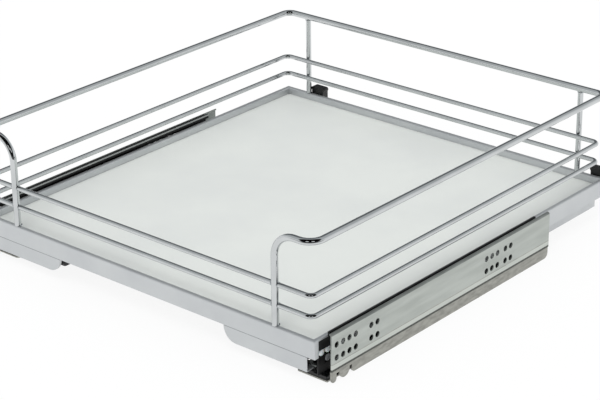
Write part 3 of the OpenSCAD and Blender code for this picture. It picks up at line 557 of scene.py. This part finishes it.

# %% [markdown]
# Width is the radius that the real edge has: a cut sheet is nearly crisp, a moulding has a
# few tenths, and the lever that a finger pulls has the largest.

# %% Pressed and moulded pieces
# The front bracket's base finish is the lacquer with painted seam shade, and the side plate's
# base is the zinc with painted shade on its rolled edge
for side, _ in SIDES:
    for node, ending, material, slot, width, body in (
            ("front_bracket", "pressed", painted_seam_shade_lacquer, "frame_sheet", 0.45, "tray"),
            ("rear_clip", "moulded", polyamide, "black_plastic", 0.5, "tray"),
            ("corner_insert", "moulded", polyamide, "black_plastic", 0.3, "tray"),
            ("lock_housing", "moulded", polyamide, "black_plastic", 0.6, "tray"),
            ("soft_close_catch", "pressed", rolled_steel, "rail_steel", 0.3, "tray"),
            ("release_lever", "moulded", lever_plastic, "lever_plastic", 0.8,
             "release_lever_" + side),
            ("cabinet_member", "pressed", painted_shade_galvanised, "runner_steel", 0.2, "cabinet"),
            ("soft_close_unit", "moulded", damper_plastic, "damper_plastic", 0.7, "cabinet"),
            ("rail_buffer", "moulded", rubber, "buffer_rubber", 0.5, "cabinet"),
            ("roller_carrier", "moulded", polyamide, "black_plastic", 0.25, "middle_" + side)):
        softened(f"{node}_{side}", f"{node}_{side}_{ending}", material, width, body,
                 bands_of.get(node, ()), inner_band_of.get(node, 0))

# %% [markdown]
# ## Pieces lifted from an outline
# Some flat pieces are only an outline with a length: the stop on each foot, the black strip
# of painted shade in the gap behind the top of each side plate, and the end of the tray's lower
# wall.
# One function carries an outline along an axis to a closed body and softens its edges.

# %% Lifting an outline
def lifted(name, outline, start, end, material, width_mm, axis=2):
    """A closed body from an outline in mm, carried along an axis, with softened edges."""
    shape = bmesh.new()
    ring = []
    for a, b in outline:
        place = [a, b]
        place.insert(axis, start)
        ring.append(shape.verts.new(Vector(place) * MM))
    shape.faces.new(ring)
    grown = bmesh.ops.extrude_face_region(shape, geom=shape.faces[:])["geom"]
    for vert in (v for v in grown if isinstance(v, bmesh.types.BMVert)):
        vert.co[axis] = end * MM
    bmesh.ops.recalc_face_normals(shape, faces=shape.faces)
    bmesh.ops.bevel(shape, geom=shape.edges[:], offset=width_mm * MM, segments=2,
                    affect="EDGES", clamp_overlap=True)
    return solid_piece(name, shape, material)


def mirrored(sign, outline):
    """An outline whose first number is a distance from the middle, on one side of the part."""
    return [(sign * across, other) for across, other in outline]


# %% [markdown]
# The black stop stands on the front end of each foot. Its front corner is cut like the foot's
# own, which the CAD node leaves square.

# %% Foot stops
for side, sign in SIDES:
    low, high = box_mm("front_stop_" + side)
    near, far = inner_and_outer(low, high)
    foot_front = box_mm("cabinet_member_" + side)[0].y
    cut = 3.4
    outline = [(far, foot_front + 0.5), (near + cut + 0.2, foot_front + 0.5),
               (near + 0.2, foot_front + 0.5 + cut), (near, high.y), (far, high.y)]
    stop = lifted("front_stop_" + side + "_moulded", mirrored(sign, outline), low.z, high.z,
                  polyamide, 0.3)
    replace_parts(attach(stop, "cabinet"), "front_stop_" + side)
    print(stop.name, len(stop.data.polygons), "faces")

# %% [markdown]
# The gap strip is painted shade: a black body on the plate's inner face. It steps inwards, and
# its lip stands up beside the rolled edge, which draws the black line of shade along the tray. A
# grey edge on the lip faces the tray and is a painted highlight. Both profiles are drawn as
# (distance from the wall, height).

# %% Gap strips
strip_profile = ((1.5, 41.9), (2.8, 41.9), (2.8, 46.6), (7.4, 46.6), (7.4, 51.0), (4.9, 51.0),
                 (4.9, 48.2), (1.5, 48.2))
edge_profile = ((7.4, 49.5), (7.9, 49.5), (7.9, 51.0), (7.4, 51.0))
front_margin, back_margin = 3, 18
for side, sign in SIDES:
    low, high = box_mm("cabinet_member_" + side)
    wall = inner_and_outer(low, high)[1]
    start, end = low.y + front_margin, high.y - back_margin
    strip, edge = (mirrored(sign, [(wall - u, z) for u, z in profile])
                   for profile in (strip_profile, edge_profile))
    # The black strip is painted shade in the gap, and its grey edge a painted highlight
    shade_strip = lifted("gap_strip_" + side, strip, start, end, polyamide, 0.2, axis=1)
    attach(shade_strip, "cabinet")
    lip = lifted("gap_strip_painted_highlight_" + side, edge, start, end, painted_highlight_edge, 0.1, axis=1)
    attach(lip, "cabinet")
    print(shade_strip.name, "and", lip.name, round(end - start, 1), "mm long")

# %% [markdown]
# The side panel's lower wall runs on to the frame's back corner, as a thin tongue inside the
# back panel. It starts just behind the end of the wall in the CAD node.

# %% Ends of the lower walls
tongue_t, tongue_top, tongue_start, tongue_end = 1.0, 33.0, 225.0, 236.9
for side, sign in SIDES:
    low, high = box_mm("side_panel_" + side)
    near = inner_and_outer(low, high)[0]
    outline = [(near, low.z), (near + tongue_t, low.z), (near + tongue_t, tongue_top),
               (near, tongue_top)]
    tongue = lifted("rear_wall_end_" + side, mirrored(sign, outline), tongue_start, tongue_end,
                    silver_lacquer, 0.2, axis=1)
    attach(tongue, "tray")
    print(tongue.name, len(tongue.data.polygons), "faces")

# %% [markdown]
# ## Domed rollers
# The three rollers on each carrier are turned from acetal with a domed outer end, which shows
# as a small white bullet in the corner of the tray. A turned part is a profile carried round
# its axis, here the X axis of the roller.

# %% Turning a part
def turned(name, profile, centre, sign, material, sides=36):
    """A turned part: (distance along the axis, radius) in mm, carried round X."""
    shape = bmesh.new()
    rings = []
    for along, radius in profile:
        ring = [Vector((sign * along, radius * math.cos(a), radius * math.sin(a)))
                for a in (math.tau * i / sides for i in range(sides))]
        rings.append([shape.verts.new((centre + point) * MM) for point in ring])
    for a, b in zip(rings, rings[1:]):
        for i in range(sides):
            shape.faces.new((a[i - 1], a[i], b[i], b[i - 1]))
    shape.faces.new(rings[0])
    shape.faces.new(rings[-1])
    bmesh.ops.recalc_face_normals(shape, faces=shape.faces)
    return solid_piece(name, shape, material)


# %% [markdown]
# The profile has a small chamfer at the inner end and a quarter of an ellipse at the outer one,
# which ends in a flat tip. Length and diameter come from each roller's CAD box.

# %% Front rollers
dome_h, tip_r, chamfer = 1.3, 1.1, 0.3
quarter_turn = [math.radians(15 * i) for i in range(7)]
# The guide rollers take the acetal with painted shade
for side, sign in SIDES:
    for kind, material in (("front_roller", acetal), ("second_roller", acetal),
                           ("guide_roller", painted_shade_acetal)):
        low, high = box_mm(f"{kind}_{side}")
        half_l, radius = (high.x - low.x) / 2, (high.z - low.z) / 2
        dome = [(half_l - dome_h * (1 - math.sin(t)), tip_r + (radius - tip_r) * math.cos(t))
                for t in quarter_turn]
        profile = [(-half_l, radius - chamfer), (chamfer - half_l, radius)] + dome
        piece = turned(f"{kind}_{side}_domed", profile, (low + high) / 2, sign, material)
        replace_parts(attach(piece, f"{kind}_{side}"),
                    f"{kind}_{side}")
        print(piece.name, "radius", round(radius, 2), "mm")

# %% [markdown]
# ## The CAD nodes that stay
# The folded panels, the board, the rails and the cages already have their true shape. Their
# meshes can't be changed, but a modifier may sit on them, and this one joins the loose
# triangles and smooths the folds while sheared edges stay crisp.

# %% Smooth folds
smooth_folds = bpy.data.node_groups.new("smooth_folds", "GeometryNodeTree")
smooth_folds.interface.new_socket("Geometry", in_out="INPUT", socket_type="NodeSocketGeometry")
smooth_folds.interface.new_socket("Geometry", in_out="OUTPUT", socket_type="NodeSocketGeometry")
given = smooth_folds.nodes.new("NodeGroupInput").outputs["Geometry"]
plain = add(smooth_folds, "GeometryNodeRemoveAttribute", {"Geometry": given,
                                                          "Name": "custom_normal"})
joined = add(smooth_folds, "GeometryNodeMergeByDistance", {"Geometry": plain.outputs[0],
                                                           "Distance": MERGE})
bend = add(smooth_folds, "GeometryNodeInputMeshEdgeAngle")
gentle = add(smooth_folds, "FunctionNodeCompare", {"A": bend.outputs["Unsigned Angle"],
             "B": math.radians(30)}, data_type="FLOAT", operation="LESS_THAN")
faces = add(smooth_folds, "GeometryNodeSetShadeSmooth", {"Geometry": joined.outputs[0]})
edges = add(smooth_folds, "GeometryNodeSetShadeSmooth", {"Geometry": faces.outputs[0],
            "Shade Smooth": gentle.outputs[0]}, domain="EDGE")
add(smooth_folds, "NodeGroupOutput", {"Geometry": edges.outputs[0]})
print("smooth folds tree:", len(smooth_folds.nodes), "nodes")

# %% [markdown]
# The record names a material slot for each node, so each finish goes on by its slot.

# %% Finishes by slot
by_slot = {"frame_sheet": silver_lacquer, "board": melamine, "chrome_rail": bright_chrome,
           "chrome_wire": bright_chrome, "runner_steel": galvanised, "rail_steel": rolled_steel,
           "black_plastic": polyamide, "lever_plastic": lever_plastic,
           "cage_plastic": cage_plastic, "damper_plastic": damper_plastic,
           "roller_nylon": acetal, "buffer_rubber": rubber}
slots = {part["node"]: part["material_slot"] for part in frame["record"]["subparts"]}
for name, node in frame["nodes"].items():
    node.data.materials.clear()
    node.data.materials.append(by_slot[slots[name]])
    if not node.hide_render:
        node.modifiers.new("smooth_folds", "NODES").node_group = smooth_folds
print("CAD nodes shown:", sum(not n.hide_render for n in frame["nodes"].values()))

# %% [markdown]
# ## The floor
# The photograph was taken on a white sweep, a sheet of paper that hides the floor's edge. A
# disc of 12 m stands in for it. It shows white to the camera and in reflections through Light
# Path, and a tenth of it stays a real surface, which keeps the soft shadow.

# %% Floor
FRONT = math.radians(-49)  # from the tray to the camera's end of the room, round from +X
rim = [math.tau * i / 64 for i in range(64)]
floor_mesh = bpy.data.meshes.new("floor")
floor_mesh.from_pydata([(12 * math.cos(a), 12 * math.sin(a), 0) for a in rim], [], [range(64)])
floor = in_scene("floor", floor_mesh)
sweep = bpy.data.materials.new("white_paper_sweep")
sweep.use_nodes = True
floor_mesh.materials.append(sweep)
floor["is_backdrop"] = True
print("floor:", len(floor_mesh.vertices), "corners")

# %% [markdown]
# The sheet ends 0.6 m in front of the tray's middle. Only mirrors see past its edge: there the
# chrome finds the dark end of the room, which gives the bars their dark lines.

# %% Paper
tree = sweep.node_tree
tree.nodes.clear()
rays = add(tree, "ShaderNodeLightPath").outputs
seen = add(tree, "ShaderNodeMath", {0: rays["Is Camera Ray"], 1: rays["Is Glossy Ray"]},
           operation="MAXIMUM")
seen = add(tree, "ShaderNodeMath", {0: seen.outputs[0], 1: rays["Is Transmission Ray"]},
           operation="MAXIMUM")
glowing_part = add(tree, "ShaderNodeMath", {0: seen.outputs[0], 1: 0.9}, operation="MULTIPLY")
spot = add(tree, "ShaderNodeTexCoord").outputs["Object"]
forward = add(tree, "ShaderNodeVectorMath", {0: spot, 1: (math.cos(FRONT), math.sin(FRONT), 0)},
              operation="DOT_PRODUCT")
past_edge = add(tree, "ShaderNodeMapRange", {"Value": forward.outputs["Value"],
                                             "From Min": 0.58, "From Max": 0.64})
unlit = add(tree, "ShaderNodeMath", {0: past_edge.outputs[0], 1: rays["Is Glossy Ray"]},
            operation="MULTIPLY")
sheet = add(tree, "ShaderNodeMix", {0: unlit.outputs[0], 6: shade("#ffffff"),
                                    7: shade("#0c0d0e")}, data_type="RGBA")
glow = add(tree, "ShaderNodeEmission", {"Color": sheet.outputs[2], "Strength": 1.0})
paper = add(tree, "ShaderNodeBsdfDiffuse", {"Color": shade("#fdfdfd")})
mixed = add(tree, "ShaderNodeMixShader", {0: glowing_part.outputs[0], 1: paper.outputs[0],
                                          2: glow.outputs[0]})
add(tree, "ShaderNodeOutputMaterial", {"Surface": mixed.outputs[0]})
print("paper:", len(tree.nodes), "nodes")

# %% [markdown]
# ## The room
# The world is the rest of the studio. The camera sees plain white, and dull surfaces get an
# even light. What the chrome mirrors is drawn: pale walls under a grey ceiling, a shaded far
# corner, and the dark end of the room behind the camera with a lamp on either side of it.
# A spot of the room is a direction with a soft border, given by two angles from its middle.

# %% World
world = bpy.data.worlds.new("studio")
bpy.context.scene.world = world
world.use_nodes = True
tree = world.node_tree
tree.nodes.clear()
rays = add(tree, "ShaderNodeLightPath").outputs
way = add(tree, "ShaderNodeTexCoord").outputs["Generated"]
height = add(tree, "ShaderNodeSeparateXYZ", {0: way}).outputs[2]


def towards(angle, tilt, border, core):
    """How far a direction lies inside a spot of the room: 0 at the border, 1 in the core."""
    angle, tilt = math.radians(angle), math.radians(tilt)
    aim = (math.cos(tilt) * math.cos(angle), math.cos(tilt) * math.sin(angle), math.sin(tilt))
    close = add(tree, "ShaderNodeVectorMath", {0: way, 1: aim}, operation="DOT_PRODUCT")
    return add(tree, "ShaderNodeMapRange", {"Value": close.outputs["Value"],
               "From Min": math.cos(math.radians(border)),
               "From Max": math.cos(math.radians(core))}).outputs[0]


ceiling = add(tree, "ShaderNodeValToRGB", {"Fac": height})
set_stops(ceiling, (0.24, 0.5), ("#f4f5f6", "#c6c9ca"))
far_corner = add(tree, "ShaderNodeMix", {0: towards(137, 34, 38, 24), 6: ceiling.outputs[0],
                                         7: shade("#6c6f72")}, data_type="RGBA")
dark_end = add(tree, "ShaderNodeMix", {0: towards(math.degrees(FRONT), 40, 60, 51),
               6: far_corner.outputs[2], 7: shade("#08090a")}, data_type="RGBA")
lamps = add(tree, "ShaderNodeMath", {0: towards(-32, 24, 10, 8), 1: towards(-66, 24, 10, 8)},
            operation="MAXIMUM")
seen_room = add(tree, "ShaderNodeMix", {0: lamps.outputs[0], 6: dark_end.outputs[2],
                                        7: shade("#ffffff")}, data_type="RGBA")
print("room:", len(tree.nodes), "nodes")

# %% [markdown]
# Three views of the world are then sorted by the kind of ray: the even light for dull surfaces,
# the drawn room for mirrors, and white for the camera.

# %% What each ray sees
even_light = add(tree, "ShaderNodeBackground", {"Color": shade("#e8e9ea"), "Strength": 1.0})
mirror_view = add(tree, "ShaderNodeBackground", {"Color": seen_room.outputs[2],
                                                 "Strength": 1.0})
white = add(tree, "ShaderNodeBackground", {"Color": shade("#ffffff"), "Strength": 1.0})
shiny = add(tree, "ShaderNodeMixShader", {0: rays["Is Glossy Ray"], 1: even_light.outputs[0],
                                          2: mirror_view.outputs[0]})
clear = add(tree, "ShaderNodeMath", {0: rays["Is Camera Ray"], 1: rays["Is Transmission Ray"]},
            operation="MAXIMUM")
out = add(tree, "ShaderNodeMixShader", {0: clear.outputs[0], 1: shiny.outputs[0],
                                        2: white.outputs[0]})
add(tree, "ShaderNodeOutputWorld", {"Surface": out.outputs[0]})
print("world:", len(tree.nodes), "nodes")

# %% [markdown]
# One broad lamp gives the folds their light and dark sides, and the shadow its direction. It
# is hidden from mirrors, which already find the drawn lamps.

# %% Lamp
lamp_data = bpy.data.lights.new("soft_key", "SUN")
lamp_data.energy, lamp_data.angle = 0.9, math.radians(25)
lamp = in_scene("soft_key", lamp_data)
lamp.visible_glossy = False
lamp.rotation_euler = Vector((0.25, -0.55, 1)).to_track_quat("Z", "Y").to_euler()
print("lamp:", lamp_data.energy, "W/m2 over", round(math.degrees(lamp_data.angle)), "degrees")

# %% [markdown]
# ## The camera
# The lens, the place and the turn were solved from the straight edges in the photograph, so
# the picture can be laid over it.

# %% Camera
yaw, pitch, roll = (math.radians(v) for v in (40.790, 23.831, -0.691))
camera_place = Vector((1277.8, -1485.0, 904.9)) * MM
ahead = Vector((-math.sin(yaw) * math.cos(pitch), math.cos(yaw) * math.cos(pitch),
                -math.sin(pitch)))
right = Vector((math.cos(yaw), math.sin(yaw), 0))
up = right.cross(ahead)
across = right * math.cos(roll) + up * math.sin(roll)
above = up * math.cos(roll) - right * math.sin(roll)
turn = Matrix((across, above, -ahead)).transposed().to_4x4()
lens = bpy.data.cameras.new("camera")
lens.lens, lens.sensor_width = 121.6, 36
camera = in_scene("camera", lens)
camera.matrix_world = Matrix.Translation(camera_place) @ turn
bpy.context.scene.camera = camera
bpy.context.scene.view_settings.view_transform = "Standard"
print("camera:", round(camera_place.length, 2), "m from the origin")

# %% Sizes
low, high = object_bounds()
print("visual box in mm:", [round(v / MM, 1) for v in (*low, *high)])
